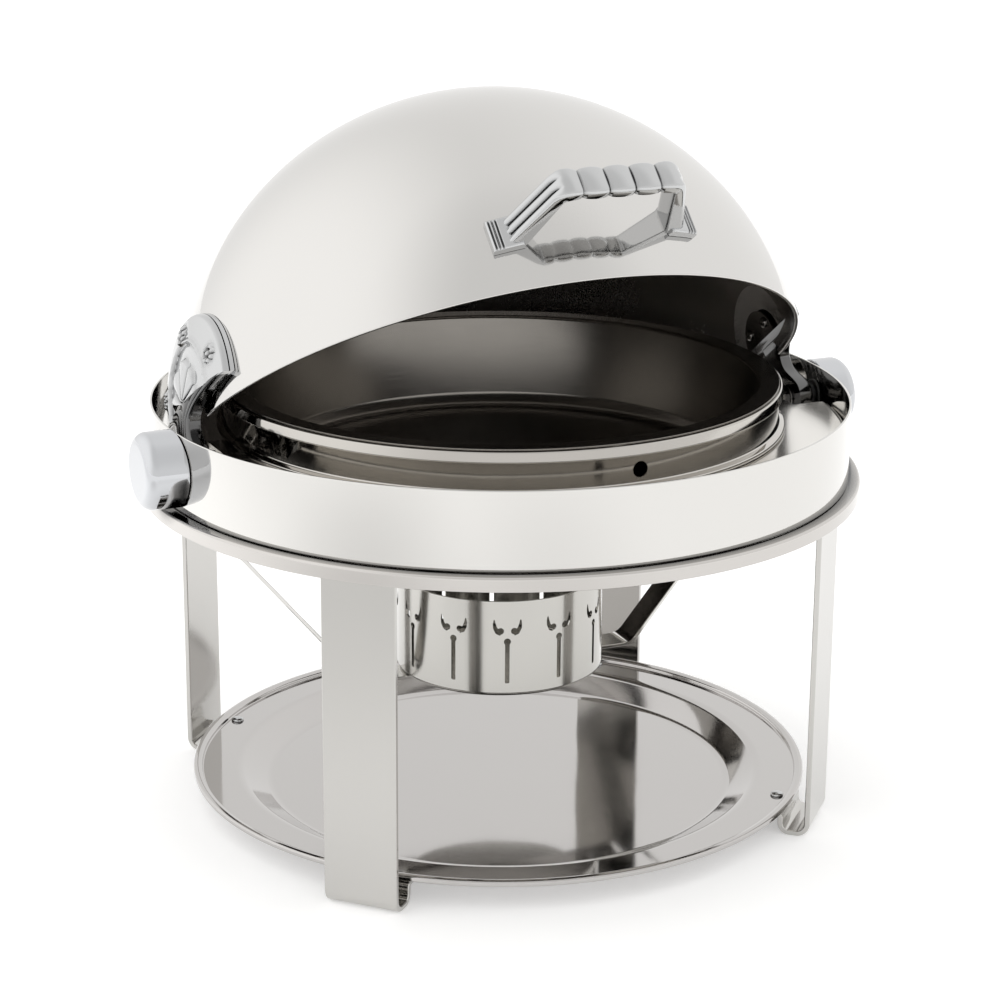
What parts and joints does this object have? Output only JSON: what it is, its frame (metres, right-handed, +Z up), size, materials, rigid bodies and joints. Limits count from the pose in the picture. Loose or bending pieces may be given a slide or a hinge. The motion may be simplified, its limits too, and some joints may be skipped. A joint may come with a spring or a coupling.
{
  "type": "chafing dish",
  "caption": "Round roll-top chafing dish: strap-legged stand with drip tray and hanging burner holder, water and food pans, and a domed lid that rolls back on side pivots.",
  "frame": {"origin": "on the floor under the middle of the frame ring, halfway between the two knobs", "axes": "+Z up, +X to the object's right seen from the open front, -Y towards the guest"},
  "size_m": [0.5188, 0.486, 0.484],
  "materials": {
    "polished_steel": "mirror-polished stainless steel",
    "satin_steel": "satin stainless steel",
    "chrome": "chrome plate",
    "nylon": "black nylon"
  },
  "bodies": {
    "stand": {"bracket_screw_left": "polished_steel", "bracket_screw_right": "polished_steel", "burner_bolt": "polished_steel", "burner_bracket": "polished_steel", "burner_holder": "polished_steel", "burner_nut": "polished_steel", "drip_tray": "polished_steel", "frame_band": "polished_steel", "leg_front_left": "polished_steel", "leg_front_right": "polished_steel", "leg_rear_left": "polished_steel", "leg_rear_right": "polished_steel", "pan_support": "polished_steel", "pivot_bush_left": "nylon", "pivot_bush_right": "nylon", "pivot_knob_left": "chrome", "pivot_knob_right": "chrome", "pivot_nut_left": "polished_steel", "pivot_nut_right": "polished_steel", "pivot_pin_left": "polished_steel", "pivot_pin_right": "polished_steel", "pivot_washer_left": "polished_steel", "pivot_washer_right": "polished_steel", "ring_screw_front_left_1": "polished_steel", "ring_screw_front_left_2": "polished_steel", "ring_screw_front_right_1": "polished_steel", "ring_screw_front_right_2": "polished_steel", "ring_screw_rear_left_1": "polished_steel", "ring_screw_rear_left_2": "polished_steel", "ring_screw_rear_right_1": "polished_steel", "ring_screw_rear_right_2": "polished_steel", "stand_ring": "polished_steel", "tray_nut_front_left": "polished_steel", "tray_nut_front_right": "polished_steel", "tray_nut_rear_left": "polished_steel", "tray_nut_rear_right": "polished_steel", "tray_screw_front_left": "polished_steel", "tray_screw_front_right": "polished_steel", "tray_screw_rear_left": "polished_steel", "tray_screw_rear_right": "polished_steel"},
    "lid": {"handle_screw_left": "polished_steel", "handle_screw_right": "polished_steel", "handle_washer_left": "polished_steel", "handle_washer_right": "polished_steel", "hinge_back_plate_left": "polished_steel", "hinge_back_plate_right": "polished_steel", "hinge_plate_left": "chrome", "hinge_plate_right": "chrome", "hinge_screw_left_1": "polished_steel", "hinge_screw_left_2": "polished_steel", "hinge_screw_right_1": "polished_steel", "hinge_screw_right_2": "polished_steel", "lid_dome": "polished_steel", "lid_handle": "chrome"},
    "water_pan": {"water_pan": "polished_steel"},
    "food_pan": {"food_pan": "satin_steel"}
  },
  "joints": [
    {"name": "lid_roll", "type": "hinge", "parent": "stand", "child": "lid", "pos_m": [0, -0.014, 0.2592], "axis": [-1, 0, 0], "range_deg": [-34, 56]},
    {"name": "water_pan_lift", "type": "slide", "parent": "stand", "child": "water_pan", "axis": [0, 0, 1], "range_m": [0, 0.014]},
    {"name": "food_pan_lift", "type": "slide", "parent": "water_pan", "child": "food_pan", "axis": [0, 0, 1], "range_m": [0, 0.018]}
  ]
}
